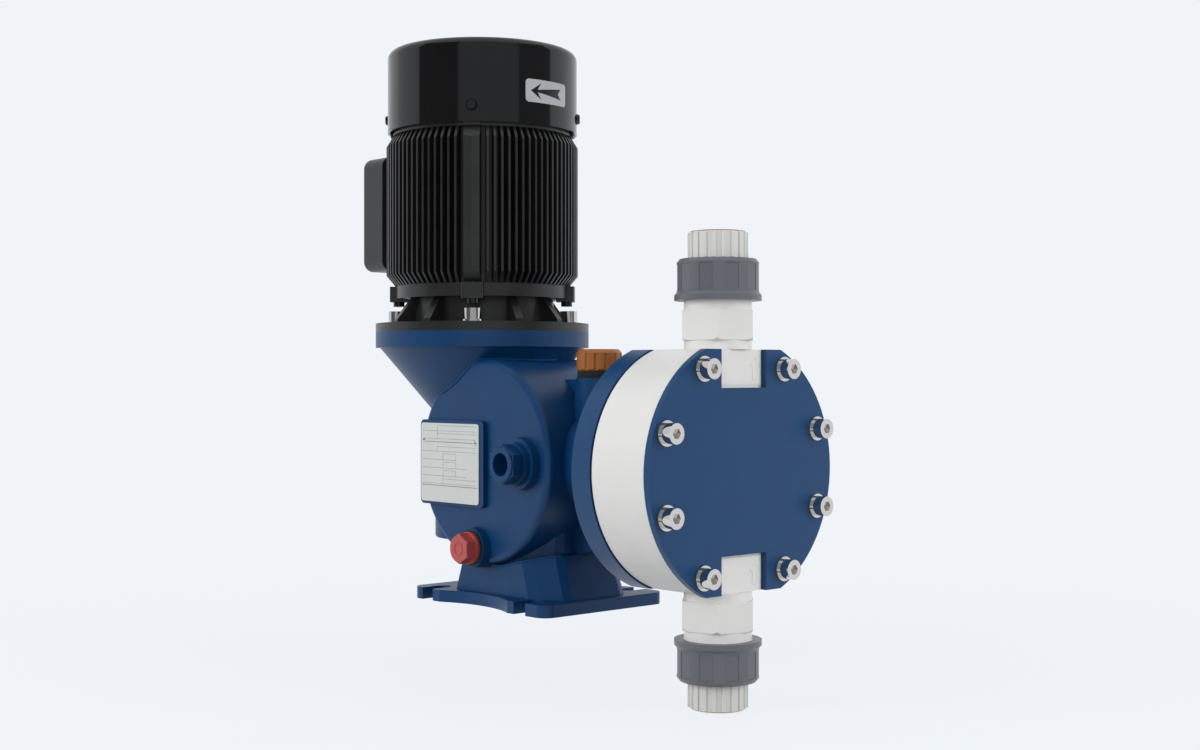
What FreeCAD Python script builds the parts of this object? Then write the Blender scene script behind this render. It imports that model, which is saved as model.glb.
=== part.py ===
import FreeCAD, Part
import os
from math import acos, asin, cos, pi, radians, sin, sqrt, tan

# Motor-driven diaphragm metering pump. Millimetres, +X to the pump head, +Z up,
# origin at the centre of the underside of the base plate.

V = FreeCAD.Vector
DIR = {"x": V(1, 0, 0), "y": V(0, 1, 0), "z": V(0, 0, 1)}

# main positions
MOTOR_X = -63.0
AXIS_Z = 102.5
DRUM_X = -4.5
WHEEL_X = -21.0
SPINDLE_X = 40.5
VALVE_X = 180.0

# base
BASE_L, BASE_W, BASE_T = 149.0, 114.0, 8.5
SLOT_X, SLOT_W, SLOT_D = (-55.7, 48.4), 12.3, 20.0

# casing
DRUM_R, DRUM_FRONT, DRUM_BACK = 72.5, -47.5, 58.0
CAVITY_R, CAVITY_FRONT = 61.0, -37.0
COVER_PCD_R = 66.5
FLANGE_R, FLANGE_Z, FLANGE_T = 80.0, 184.0, 11.5
HOPPER_SLOPE = 0.84
BARREL_R, BARREL_Z = 35.5, 42.0
NECK_R, NECK_FLANGE_R, NECK_END = 34.0, 56.0, 131.0
WEB_HALF = 7.0
STEP_R, STEP_Y = 18.0, -53.5
RIM_R = 4.5
COVER_T = 8.0

# gearing, one module, two starts, right hand
MODULE, TEETH, STARTS = 2.0, 30, 2
WHEEL_PITCH_R = MODULE * TEETH / 2
WORM_PITCH_R = MOTOR_X * -1 + WHEEL_X - WHEEL_PITCH_R
LEAD = pi * MODULE * STARTS
BACKLASH = 0.6
WHEEL_W = 12.0
THROW = 3.0
ECC_R = 16.0

# head stack
PLATE_X, BODY_X, FRONT_X, FACE_X = 131.0, 148.0, 198.5, 203.0
MEMBRANE_T = 2.0
BACK_R, BODY_R, FRONT_R, FLAT = 83.0, 82.0, 85.0, 77.5
SCREW_PCD_R = 75.0
LIP = 1.6
HEAD_H, WASHER_T, LOCK_T = 6.4, 1.5, 1.6
NOTCH_HALF, NOTCH_Z = 21.0, 53.0

# clearances
RUN = 0.05
SLIDE = 0.08
FREE = 0.4


def cyl(axis, r, start, length, at=(0, 0, 0)):
    base = V(*at) + DIR[axis] * start
    return Part.makeCylinder(r, length, base, DIR[axis])


def cone(axis, r0, r1, start, length, at=(0, 0, 0)):
    base = V(*at) + DIR[axis] * start
    return Part.makeCone(r0, r1, length, base, DIR[axis])


def tube(axis, outer, inner, start, length, at=(0, 0, 0)):
    return cyl(axis, outer, start, length, at).cut(cyl(axis, inner, start, length, at))


def box(x0, x1, y0, y1, z0, z1):
    return Part.makeBox(x1 - x0, y1 - y0, z1 - z0, V(x0, y0, z0))


def wire(points):
    return Part.makePolygon([V(*p) for p in points] + [V(*points[0])])


def slab(points, direction):
    return Part.Face(wire(points)).extrude(V(*direction))


def turned(profile, axis, at=(0, 0, 0)):
    """Solid of revolution from (radius, height) pairs."""
    if axis == "z":
        pts = [(r, 0, h) for r, h in profile]
    elif axis == "y":
        pts = [(r, h, 0) for r, h in profile]
    else:
        pts = [(h, r, 0) for r, h in profile]
    solid = Part.Face(wire(pts)).revolve(V(0, 0, 0), DIR[axis], 360)
    solid.translate(V(*at))
    return solid


def join(shapes):
    shapes = list(shapes)
    return shapes[0].multiFuse(shapes[1:]).removeSplitter() if shapes[1:] else shapes[0]


def spin(shape, angle, axis="z", at=(0, 0, 0)):
    copy = shape.copy()
    copy.rotate(V(*at), DIR[axis], angle)
    return copy


def round_edges(shape, radius, keep):
    edges = [e for e in shape.Edges if keep(e)]
    return shape.makeFillet(radius, edges) if edges else shape


def hexagon(axis, flats, start, length, at=(0, 0, 0), turn=0.0):
    r = flats / sqrt(3)
    pts = []
    for k in range(6):
        a = radians(60 * k + turn)
        p, q = r * cos(a), r * sin(a)
        if axis == "x":
            pts.append((at[0] + start, at[1] + p, at[2] + q))
        elif axis == "y":
            pts.append((at[0] + p, at[1] + start, at[2] + q))
        else:
            pts.append((at[0] + p, at[1] + q, at[2] + start))
    return slab(pts, DIR[axis] * length)


def socket_screw(axis, r, head_r, head_h, length, at, sign=1):
    """Socket head screw: the seat of the head is at `at`, the shank runs the other way."""
    head = cyl(axis, head_r, 0 if sign > 0 else -head_h, head_h, at)
    shank = cyl(axis, r, -length if sign > 0 else 0, length, at)
    drive = hexagon(axis, r * 1.5, head_h * 0.45 if sign > 0 else -head_h, head_h * 0.55, at)
    return head.fuse(shank).cut(drive)


def around(count, radius, start=0.0):
    for k in range(count):
        a = radians(start + 360.0 * k / count)
        yield radius * cos(a), radius * sin(a)


def save(name, shape):
    if isinstance(shape, (list, tuple)):
        shape = Part.makeCompound(list(shape))
    shape.exportStep("parts/%s.step" % name)


AT_MOTOR = (MOTOR_X, 0, 0)

# base
BASE_SCREWS = [(x, y) for x in (-30, 38) for y in (-30, 30)]


def base_plate():
    plate = box(-BASE_L / 2, BASE_L / 2, -BASE_W / 2, BASE_W / 2, 0, BASE_T)
    plate = round_edges(plate, 9, lambda e: abs(e.Length - BASE_T) < 0.01)
    for side in (-1, 1):
        for x in SLOT_X:
            inner = side * (BASE_W / 2 - SLOT_D + SLOT_W / 2)
            y0, y1 = sorted((side * (BASE_W / 2 + 1), inner))
            plate = plate.cut(box(x - SLOT_W / 2, x + SLOT_W / 2, y0, y1, -1, BASE_T + 1))
            plate = plate.cut(cyl("z", SLOT_W / 2, -1, BASE_T + 2, (x, inner, 0)))
        scoop = (38.5 ** 2 + 9 ** 2) / 18
        plate = plate.cut(cyl("z", scoop, -1, BASE_T + 2, (-3.0, side * (BASE_W / 2 - 9 + scoop), 0)))
    for x, y in BASE_SCREWS:
        plate = plate.cut(cyl("z", 3.3, -1, BASE_T + 2, (x, y, 0)))
        plate = plate.cut(cone("z", 7.3, 3.3, -0.01, 4.0, (x, y, 0)))
    return plate


def base_screw(x, y):
    head = cone("z", 6.9, 3.0, 0.3, 3.9, (x, y, 0))
    shank = cyl("z", 3.0, 3.5, 17, (x, y, 0))
    return head.fuse(shank).cut(hexagon("z", 4, 0.2, 2.4, (x, y, 0)))


# casing
PLUG_X, PLUG_Z, PLUG_SEAT = -8.8, 41.2, -53.5
CAP_X, CAP_SEAT = 67.0, 161.5
PAD = (-72.0, 1.5, 69.5, 131.0)


def pedestal():
    def ring(x0, x1, w, z):
        right = [(x1 - 25, 1 - w), (x1 - 16, 5 - w), (x1 - 3, 14 - w), (x1, 20 - w)]
        front = [(x0, 7 - w), (x0 + 7, -w)] + right
        back = [(x, -y) for x, y in reversed(front)]
        return wire([(x, y, z) for x, y in front + back])
    foot = Part.makeLoft([ring(-47, 64.5, 42.5, BASE_T), ring(-38, 53.5, 41, 39.5)], True, True)
    above = [(-60, -60, 29), (10, -60, 29), (50, -60, 38), (80, -60, 38), (80, -60, 50), (-60, -60, 50)]
    stem = Part.makeLoft([ring(-34, 49, 37.5, 28), ring(-34, 49, 36, 64)], True, True)
    return foot.cut(slab(above, (0, 120, 0))).fuse(stem)


def drum():
    body = cyl("y", DRUM_R, DRUM_FRONT, DRUM_BACK - DRUM_FRONT, (DRUM_X, 0, AXIS_Z))
    return round_edges(body, RIM_R, lambda e: e.BoundBox.YMax < DRUM_FRONT + 0.1)


def hopper():
    """Cone from the motor flange down to the round housing of the worm."""
    top_r = FLANGE_R - 3.2
    height = (top_r - BARREL_R) / HOPPER_SLOPE
    flare = cone("z", BARREL_R, top_r, FLANGE_Z - height, height, AT_MOTOR)
    barrel = cyl("z", BARREL_R, BARREL_Z, FLANGE_Z - height - BARREL_Z, AT_MOTOR)
    barrel = round_edges(barrel, 2, lambda e: e.BoundBox.ZMax < BARREL_Z + 0.1)
    return flare.fuse(barrel).removeSplitter()


def neck():
    """Tube to the pump head with an end flange, stiffened by a web above and below."""
    tail = NECK_END - 14
    tube_ = turned([(0, 20), (NECK_R, 20), (NECK_R, tail - 22), (NECK_FLANGE_R - 5, tail), (NECK_FLANGE_R, tail),
                    (NECK_FLANGE_R, NECK_END), (0, NECK_END)], "x", (0, 0, AXIS_Z))
    deck = CAP_SEAT - 1
    upper = slab([(20, -WEB_HALF, 120), (20, -WEB_HALF, deck), (CAP_X + 24, -WEB_HALF, deck),
                  (tail + 4, -WEB_HALF, AXIS_Z + 40), (tail + 4, -WEB_HALF, 120)], (0, 2 * WEB_HALF, 0))
    lower = slab([(40, -WEB_HALF, 38), (54, -WEB_HALF, 38), (tail + 4, -WEB_HALF, AXIS_Z - 46),
                  (tail + 4, -WEB_HALF, 80), (40, -WEB_HALF, 80)], (0, 2 * WEB_HALF, 0))
    boss = cone("z", 19, 16.5, 124, deck - 124, (CAP_X, 0, 0)).fuse(cyl("z", 16.5, deck - 6, 7, (CAP_X, 0, 0)))
    return [tube_, upper, lower, boss]


def casing_outside():
    x0, x1, z0, z1 = PAD
    flange = cyl("z", FLANGE_R, FLANGE_Z, FLANGE_T, AT_MOTOR)
    pad = box(x0, x1, DRUM_FRONT - 3.5, DRUM_FRONT + 3.5, z0, z1)
    pad = round_edges(pad, 4, lambda e: abs(e.Length - 7) < 0.01)
    step = cone("y", STEP_R, STEP_R + 1, STEP_Y, 16, (SPINDLE_X, 0, AXIS_Z))
    collar = cyl("y", 15, STEP_Y - 4, 8, (SPINDLE_X, 0, AXIS_Z))
    nose = cyl("y", 12, STEP_Y - 14, 16, (SPINDLE_X, 0, AXIS_Z))
    nose = nose.makeChamfer(0.6, [e for e in nose.Edges if e.BoundBox.YMax < STEP_Y - 13.9])
    plug = cone("y", 14, 16, PLUG_SEAT, 26, (PLUG_X, 0, PLUG_Z))
    return join([drum(), hopper(), flange] + neck() + [pad, step, collar, nose, plug, pedestal()])


def casing_inside():
    cavity = cyl("y", CAVITY_R, CAVITY_FRONT, DRUM_BACK + 20 - CAVITY_FRONT, (DRUM_X, 0, AXIS_Z))
    worm = cyl("z", 20, 72, 130, (MOTOR_X, 0, 0))
    race = cyl("z", 16, 62, 12, (MOTOR_X, 0, 0))
    sump = cyl("z", 8.5, 56, 10, (MOTOR_X, 0, 0))
    spigot = cyl("z", 55, FLANGE_Z + FLANGE_T - 5.5, 10, (MOTOR_X, 0, 0))
    chamber = cyl("x", 22, 50, 48, (0, 0, AXIS_Z))
    bush = cyl("x", 12, 90, 50, (0, 0, AXIS_Z))
    mouth = cyl("x", 24, 122, 10, (0, 0, AXIS_Z))
    filler = cyl("z", 9, 118, 60, (CAP_X, 0, 0))
    drain = cyl("y", 6.5, PLUG_SEAT - 1, 30, (PLUG_X, 0, PLUG_Z))
    spindle = cyl("y", 6 + RUN, STEP_Y - 5, 40, (SPINDLE_X, 0, AXIS_Z))
    port = cyl("y", 8, STEP_Y - 20, 16, (SPINDLE_X, 0, AXIS_Z))
    race2 = cyl("y", 15, CAVITY_FRONT - 7, 10, (WHEEL_X, 0, AXIS_Z))
    holes = [cyl("z", 4.0, FLANGE_Z - 8, 24, (MOTOR_X + x, y, 0)) for x, y in around(4, 65, 45)]
    holes += [cyl("z", 3.0, BASE_T - 1, 14, (x, y, 0)) for x, y in BASE_SCREWS]
    holes += [cyl("y", 3.0, DRUM_BACK - 12, 14, (DRUM_X + x, 0, AXIS_Z + z)) for x, z in around(6, COVER_PCD_R, 30)]
    holes += [cyl("x", 3.0, NECK_END - 12, 14, (0, y, AXIS_Z + z)) for y, z in around(6, 48, 0)]
    return [cavity, worm, race, sump, spigot, chamber, bush, mouth, filler, drain, spindle, port, race2] + holes


def gear_casing():
    shape = casing_outside()
    for cutter in casing_inside():
        shape = shape.cut(cutter)
    return shape


def side_cover():
    plate = cyl("y", DRUM_R, DRUM_BACK, COVER_T, (DRUM_X, 0, AXIS_Z))
    plate = round_edges(plate, 3, lambda e: e.BoundBox.YMin > DRUM_BACK + COVER_T - 0.1)
    spigot = tube("y", CAVITY_R, CAVITY_R - 5, DRUM_BACK - 4, 4, (DRUM_X, 0, AXIS_Z))
    hub = cyl("y", 20, DRUM_BACK - 6, 7, (WHEEL_X, 0, AXIS_Z))
    boss = cyl("y", 17, DRUM_BACK, COVER_T + 8, (SPINDLE_X, 0, AXIS_Z))
    inner = cyl("y", 11, DRUM_BACK - 6, 7, (SPINDLE_X, 0, AXIS_Z))
    bulge = cyl("y", 24, DRUM_BACK + 1, COVER_T + 3, (WHEEL_X, 0, AXIS_Z))
    bulge = round_edges(bulge, 3, lambda e: e.BoundBox.YMin > DRUM_BACK + COVER_T + 3.9)
    shape = join([plate, spigot, hub, boss, inner, bulge])
    shape = shape.cut(cyl("y", 15, DRUM_BACK - 7, 8, (WHEEL_X, 0, AXIS_Z)))
    shape = shape.cut(cyl("y", 10, DRUM_BACK, 6, (WHEEL_X, 0, AXIS_Z)))
    shape = shape.cut(cyl("y", 6 + RUN, DRUM_BACK - 8, 30, (SPINDLE_X, 0, AXIS_Z)))
    for x, z in around(6, COVER_PCD_R, 30):
        shape = shape.cut(cyl("y", 3.2, DRUM_BACK - 1, 12, (DRUM_X + x, 0, AXIS_Z + z)))
    return shape


def cover_screws():
    y = DRUM_BACK + COVER_T
    return [socket_screw("y", 3.0, 5, 6, 17, (DRUM_X + x, y, AXIS_Z + z)) for x, z in around(6, COVER_PCD_R, 30)]


def drain_plug():
    washer = PLUG_SEAT - 1.6
    flange = cyl("y", 11.5, washer - 2, 2, (PLUG_X, 0, PLUG_Z))
    head = hexagon("y", 18.8, washer - 10, 8.2, (PLUG_X, 0, PLUG_Z), 30)
    head = head.common(turned([(0, washer - 10), (9.6, washer - 10), (11, washer - 8.6), (11, washer), (0, washer)],
                              "y", (PLUG_X, 0, PLUG_Z)))
    stem = cyl("y", 6.5, washer - 1, 15, (PLUG_X, 0, PLUG_Z))
    return join([flange, head, stem])


def filler_cap():
    top, seat = CAP_SEAT + 20, CAP_SEAT + 5
    body = turned([(0, seat), (14.6, seat), (15.8, seat + 1.2), (15.8, top - 2.5), (13.6, top), (0, top)],
                  "z", (CAP_X, 0, 0))
    groove = cyl("z", 1.5, seat - 1, 13, (CAP_X + 16.4, 0, 0))
    for k in range(14):
        body = body.cut(spin(groove, k * 360.0 / 14, "z", (CAP_X, 0, 0)))
    stem = tube("z", 9, 6, CAP_SEAT - 14, 20, (CAP_X, 0, 0))
    return body.fuse(stem)


# gearing
def involute(radius):
    base = WHEEL_PITCH_R * cos(radians(20))
    a = acos(min(1.0, base / radius))
    return tan(a) - a


def tooth_half_angle(radius):
    half = (pi * MODULE / 2 - BACKLASH) / 2 / WHEEL_PITCH_R
    return half + involute(WHEEL_PITCH_R) - involute(max(radius, WHEEL_PITCH_R * cos(radians(20))))


def wheel_outline(y, twist):
    radii = [WHEEL_PITCH_R - 2.6, WHEEL_PITCH_R - 1.2, WHEEL_PITCH_R, WHEEL_PITCH_R + 1.8]
    pts = []
    for k in range(TEETH):
        mid = pi + 2 * pi * k / TEETH + twist
        flank = [(r, -tooth_half_angle(r)) for r in radii] + [(r, tooth_half_angle(r)) for r in reversed(radii)]
        # turning about +Y carries +Z toward +X, so the angle runs from X toward -Z
        pts += [(r * cos(mid + a), y, -r * sin(mid + a)) for r, a in flank]
    return wire(pts)


def worm_wheel():
    slope = LEAD / (2 * pi) / WORM_PITCH_R / WHEEL_PITCH_R
    half = WHEEL_W / 2
    gear = Part.makeLoft([wheel_outline(-half, -slope * half), wheel_outline(half, slope * half)], True, True)
    dish = tube("y", 24, 12, -half - 1, 4, (0, 0, 0))
    gear = gear.cut(dish).cut(dish.mirror(V(0, 0, 0), V(0, 1, 0)))
    gear.translate(V(WHEEL_X, 0, AXIS_Z))
    return gear.cut(cyl("y", 9, -half - 1, WHEEL_W + 2, (WHEEL_X, 0, AXIS_Z)))


def worm():
    root = WORM_PITCH_R - 2.3
    tip = WORM_PITCH_R + 1.8
    z0 = AXIS_Z - pi * MODULE * 4.5
    half = (pi * MODULE / 2 - BACKLASH) / 2
    low, high = half + 2.6 * tan(radians(20)), half - 1.8 * tan(radians(20))
    profile = wire([(root - 0.3, 0, -low), (tip, 0, -high), (tip, 0, high), (root - 0.3, 0, low)])
    helix = Part.makeHelix(LEAD, pi * MODULE * 9, root)
    thread = Part.Wire(helix).makePipeShell([profile], True, True)
    thread.translate(V(0, 0, z0))
    core = cyl("z", root, AXIS_Z - 22, 44)
    shape = core.fuse(thread).fuse(spin(thread, 180))
    shape = shape.common(cyl("z", tip + 1, AXIS_Z - 22, 44))
    shape = shape.fuse(cyl("z", root - 0.2, AXIS_Z - 28, 56))
    shape = shape.cut(cyl("z", 7, AXIS_Z - 40, 80))
    shape.translate(V(MOTOR_X, 0, 0))
    return shape


def ball_bearing(axis, outer, inner, start, length, at):
    """Two races and a shield ring, touching."""
    mid = (outer + inner) / 2
    ring = tube(axis, outer, inner, start, length, at)
    groove = tube(axis, mid + 1.2, mid - 1.2, start - 0.5, 1.0, at)
    back = tube(axis, mid + 1.2, mid - 1.2, start + length - 0.5, 1.0, at)
    return ring.cut(groove).cut(back)


def eccentric_shaft():
    at = (WHEEL_X, 0, AXIS_Z)
    shaft = join([cyl("y", 8, CAVITY_FRONT - 6, DRUM_BACK - CAVITY_FRONT + 7, at), cyl("y", 9, -30, 60, at)])
    for y in (-18, 8):
        shaft = shaft.fuse(cyl("y", 13, y, 10, (WHEEL_X - THROW, 0, AXIS_Z)))
    return shaft.cut(cyl("y", 9, -WHEEL_W / 2, WHEEL_W, at)).fuse(cyl("y", 9, -WHEEL_W / 2, WHEEL_W, at))


def eccentric_bearings():
    return [tube("y", ECC_R, 13, y, 10, (WHEEL_X - THROW, 0, AXIS_Z)) for y in (-18, 8)]


# plunger
FORK_X = WHEEL_X + THROW + ECC_R + FREE
ROD_R = 9.0


def pushrod():
    fork = box(FORK_X, FORK_X + 28, -18, 18, AXIS_Z - 12, AXIS_Z + 12)
    fork = fork.cut(box(FORK_X - 1, 11.8, -7.2, 7.2, AXIS_Z - 13, AXIS_Z + 13))
    bar = box(FORK_X + 24, 70, -9, 9, AXIS_Z - 15, AXIS_Z + 15)
    # the cam stays clear of the window's end wall at full stroke
    window = box(SPINDLE_X - 18, SPINDLE_X + 11, -10, 10, AXIS_Z - 11, AXIS_Z + 11)
    collar = cyl("x", 15, 68, 4, (0, 0, AXIS_Z))
    rod = cyl("x", ROD_R, 70, 68, (0, 0, AXIS_Z))
    return join([fork, bar, collar, rod]).cut(window)


def return_spring():
    wire_r, coil_r, x0, x1 = 1.6, 13.5, 72.0, 98.0
    pitch = (x1 - x0 - 2 * wire_r) / 4.5
    helix = Part.makeHelix(pitch, x1 - x0 - 2 * wire_r, coil_r)
    ring = Part.Wire(Part.makeCircle(wire_r, V(coil_r, 0, 0), V(0, 1, 0)))
    coil = Part.Wire(helix).makePipeShell([ring], True, True)
    coil.rotate(V(0, 0, 0), V(0, 1, 0), 90)
    coil.translate(V(x0 + wire_r, 0, AXIS_Z))
    return coil


def guide_bush():
    return tube("x", 12, ROD_R + SLIDE, 98, 24, (0, 0, AXIS_Z))


def diaphragm_hub():
    return turned([(0, 138), (14, 138), (28, 143), (28, BODY_X - 0.6), (0, BODY_X - 0.6)], "x", (0, 0, AXIS_Z))


def flatted(axis_x0, length, radius, flat=FLAT):
    disc = cyl("x", radius, axis_x0, length, (0, 0, AXIS_Z))
    return disc.common(box(axis_x0, axis_x0 + length, -radius, radius, AXIS_Z - flat, AXIS_Z + flat))


def diaphragm():
    edge = LIP + 0.4
    rim = flatted(BODY_X, MEMBRANE_T, BODY_R - edge, FLAT - edge).cut(cyl("x", 50, BODY_X - 1, 5, (0, 0, AXIS_Z)))
    web = turned([(0, BODY_X - 0.6), (28.6, BODY_X - 0.6), (36, BODY_X - 4), (44, BODY_X - 3), (50, BODY_X),
                  (50.5, BODY_X), (50.5, BODY_X + 2), (44, BODY_X - 0.6), (36, BODY_X - 1.6),
                  (28.6, BODY_X + 2), (0, BODY_X + 2)], "x", (0, 0, AXIS_Z))
    return drilled(rim.fuse(web), 4.3, BODY_X - 1, BODY_X + MEMBRANE_T + 1)


# head
HEAD_ANGLES = [s + a for s in (0, 180) for a in (-60, -20, 20, 60)]
HEAD_SPOTS = [(SCREW_PCD_R * cos(radians(a)), SCREW_PCD_R * sin(radians(a))) for a in HEAD_ANGLES]


def drilled(shape, r, x0, x1):
    for y, z in HEAD_SPOTS:
        shape = shape.cut(cyl("x", r, x0, x1 - x0, (0, y, AXIS_Z + z)))
    return shape


def backing_plate():
    plate = flatted(PLATE_X, BODY_X - PLATE_X, BACK_R)
    dish = turned([(0, 137), (32, 137), (50, BODY_X), (50, BODY_X + 1), (0, BODY_X + 1)], "x", (0, 0, AXIS_Z))
    plate = plate.cut(dish).cut(cyl("x", 20, PLATE_X - 1, 10, (0, 0, AXIS_Z)))
    for y, z in around(6, 48, 0):
        plate = plate.cut(cyl("x", 3.2, PLATE_X - 1, 20, (0, y, AXIS_Z + z)))
        plate = plate.cut(cyl("x", 5.4, PLATE_X + 8, 20, (0, y, AXIS_Z + z)))
    return drilled(plate, 4.0, PLATE_X + 3, BODY_X + 1)


def backing_screws():
    return [socket_screw("x", 3.0, 5, 5, 17, (PLATE_X + 8, y, AXIS_Z + z)) for y, z in around(6, 48, 0)]


def head_body():
    x0 = BODY_X + MEMBRANE_T
    body = flatted(x0, FRONT_X - x0, BODY_R)
    lens = turned([(0, x0 - 1), (50, x0 - 1), (50, x0), (34, x0 + 8), (0, x0 + 8)], "x", (0, 0, AXIS_Z))
    body = body.cut(lens)
    # a lip reaches over the rim of the diaphragm and leaves a narrow joint line
    lip = flatted(BODY_X + 1, MEMBRANE_T, BODY_R)
    body = body.fuse(lip.cut(flatted(BODY_X, MEMBRANE_T + 2, BODY_R - LIP, FLAT - LIP)))
    for side in (-1, 1):
        flat_z = AXIS_Z + side * FLAT
        low, high = sorted((flat_z, AXIS_Z + side * (NOTCH_Z + 1.8)))
        body = body.fuse(box(FRONT_X - 2, FACE_X - 4, -20, 20, low, high))
        z0, z1 = sorted((AXIS_Z + side * 36, flat_z + side))
        body = body.cut(cyl("z", 7, z0, z1 - z0, (VALVE_X, 0, 0)))
        z0, z1 = sorted((flat_z - side * 12, flat_z + side))
        body = body.cut(cyl("z", 16, z0, z1 - z0, (VALVE_X, 0, 0)))
        body = body.cut(cyl("x", 7, x0 - 1, VALVE_X - x0 + 1, (0, 0, AXIS_Z + side * 36)))
    return drilled(body, 4.3, x0 - 1, FRONT_X + 1)


def front_plate():
    plate = flatted(FRONT_X, FACE_X - FRONT_X, FRONT_R)
    for side in (-1, 1):
        low, high = sorted((AXIS_Z + side * NOTCH_Z, AXIS_Z + side * (FLAT + 1)))
        plate = plate.cut(box(FRONT_X - 1, FACE_X + 1, -NOTCH_HALF, NOTCH_HALF, low, high))
    return drilled(plate, 4.3, FRONT_X - 1, FACE_X + 1)


def head_screws():
    seat = FACE_X + WASHER_T + LOCK_T
    return [socket_screw("x", 4.0, 6.5, HEAD_H, seat - PLATE_X - 5, (seat, y, AXIS_Z + z)) for y, z in HEAD_SPOTS]


def head_washers():
    out = []
    for y, z in HEAD_SPOTS:
        flat = tube("x", 8, 4.2, FACE_X, WASHER_T, (0, y, AXIS_Z + z))
        lock = tube("x", 6.4, 4.2, FACE_X + WASHER_T, LOCK_T, (0, y, AXIS_Z + z))
        out.append(flat.fuse(lock))
    return out


# valves
def outward(side, h, length):
    """Start and length along +Z of a piece that lies h outward of the head flat."""
    a = AXIS_Z + side * (FLAT + h)
    b = AXIS_Z + side * (FLAT + h + length)
    return min(a, b), abs(b - a)


SEAT_R, SEAT_BORE, BALL_R, LIFT = 12.0, 6.0, 8.0, 4.0
SEAT_TOP = {1: AXIS_Z + FLAT - 7.0, -1: AXIS_Z - FLAT - 15.0}
AT_VALVE = (VALVE_X, 0, 0)


def ball_centre(side):
    return SEAT_TOP[side] + sqrt(BALL_R ** 2 - SEAT_BORE ** 2) + 0.05


def valve_body(side):
    parts = [cyl("z", 16, *outward(side, -12, 13), AT_VALVE), cyl("z", 22, *outward(side, 0, 7), AT_VALVE)]
    z, length = outward(side, 6, 19)
    nut = hexagon("z", 45, z, length, AT_VALVE, 12)
    bevel = turned([(0, z), (24.5, z), (26.2, z + 1.7), (26.2, z + length - 1.7), (24.5, z + length), (0, z + length)],
                   "z", AT_VALVE)
    parts += [nut.common(bevel), cyl("z", 22, *outward(side, 24, 7.5), AT_VALVE),
              cyl("z", 22.3, *outward(side, 31.5, 8.5), AT_VALVE)]
    shape = join(parts)
    top = SEAT_TOP[side]
    shape = shape.cut(cyl("z", SEAT_R, top - 5, 5, AT_VALVE)).cut(cyl("z", 10.2, top, 19, AT_VALVE))
    if side > 0:
        return shape.cut(cyl("z", 7, top + 18, 60, AT_VALVE))
    return shape.cut(cyl("z", SEAT_R, top - 60, 60, AT_VALVE)).cut(cyl("z", 7, top + 18, 60, AT_VALVE))


def ball_seat(side):
    return tube("z", SEAT_R, SEAT_BORE, SEAT_TOP[side] - 5, 5, AT_VALVE)


def ball(side):
    return Part.makeSphere(BALL_R, V(VALVE_X, 0, ball_centre(side)))


def union_nut(side):
    def h(value):
        return AXIS_Z + side * (FLAT + value)
    profile = [(22.3, h(31.5)), (28.3, h(31.5)), (28.3, h(35)), (26.6, h(37)), (26.6, h(56)), (24.8, h(58.3)),
               (19.8, h(58.3)), (19.8, h(50)), (22.3, h(50))]
    shape = turned(profile, "z", AT_VALVE)
    z, length = outward(side, 38, 17)
    for k in range(10):
        panel = box(VALVE_X + 25.9, VALVE_X + 30, -4.6, 4.6, z, z + length)
        shape = shape.cut(spin(panel, 36 * k + 9, "z", AT_VALVE))
    return shape


def tail_piece(side):
    def h(value):
        return AXIS_Z + side * (FLAT + value)
    body = turned([(11, h(41.5)), (22, h(41.5)), (22, h(50)), (19.2, h(50)), (19.2, h(58)), (18.6, h(58)),
                   (18.6, h(75.6)), (17.6, h(75.6)), (17.6, h(55)), (11, h(55))], "z", AT_VALVE)
    z, length = outward(side, 59, 16.2)
    rib = slab([(18.2, -1.1, z), (19.6, -0.5, z), (19.6, 0.9, z), (18.2, 1.3, z)], (0, 0, length))
    rib.translate(V(*AT_VALVE))
    return join([body] + [spin(rib, 18 * k, "z", AT_VALVE) for k in range(20)])


def threaded_insert(side):
    z, length = outward(side, 55, 21.2)
    return tube("z", 17.6, 15.5, z, length, AT_VALVE)


def union_seal(side):
    z, length = outward(side, 40, 1.5)
    return tube("z", 20, 14, z, length, AT_VALVE)


# stroke adjustment
DIAL_Y = DRUM_BACK + COVER_T + 8
KNOB_Y = DIAL_Y + 3.2


def adjusting_spindle():
    at = (SPINDLE_X, 0, AXIS_Z)
    rod = cyl("y", 6, STEP_Y, KNOB_Y + 20 - STEP_Y, at)
    cam = cyl("y", 7, -8, 16, (SPINDLE_X - 2, 0, AXIS_Z))
    slot = box(SPINDLE_X - 7, SPINDLE_X + 7, STEP_Y - 1, STEP_Y + 2, AXIS_Z - 0.8, AXIS_Z + 0.8)
    return rod.fuse(cam).cut(slot)


def stroke_dial():
    return tube("y", 27, 6.5, DIAL_Y, 2.5, (SPINDLE_X, 0, AXIS_Z))


def stroke_knob():
    at = (SPINDLE_X, 0, AXIS_Z)
    y = KNOB_Y
    body = turned([(0, y), (24, y), (24, y + 5), (20, y + 9), (20, y + 25), (18, y + 28), (0, y + 28)], "y", at)
    flute = cyl("y", 4, y + 8, 22, (SPINDLE_X + 22, 0, AXIS_Z))
    for k in range(8):
        body = body.cut(spin(flute, 45 * k, "y", at))
    return body.cut(cyl("y", 6, y - 1, 21, at))


# motor
DRIVE_Z = FLANGE_Z + FLANGE_T
FRAME_Z0, FRAME_Z1 = 230.0, 342.0
FIN_R, FIN_ROOT, STATOR_R, COVER_R = 72.0, 61.5, 56.0, 71.1
TB_X, TB_Z, TB_HALF, TB_RISE = MOTOR_X - 71, 288.0, 42.0, 44.0


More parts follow.
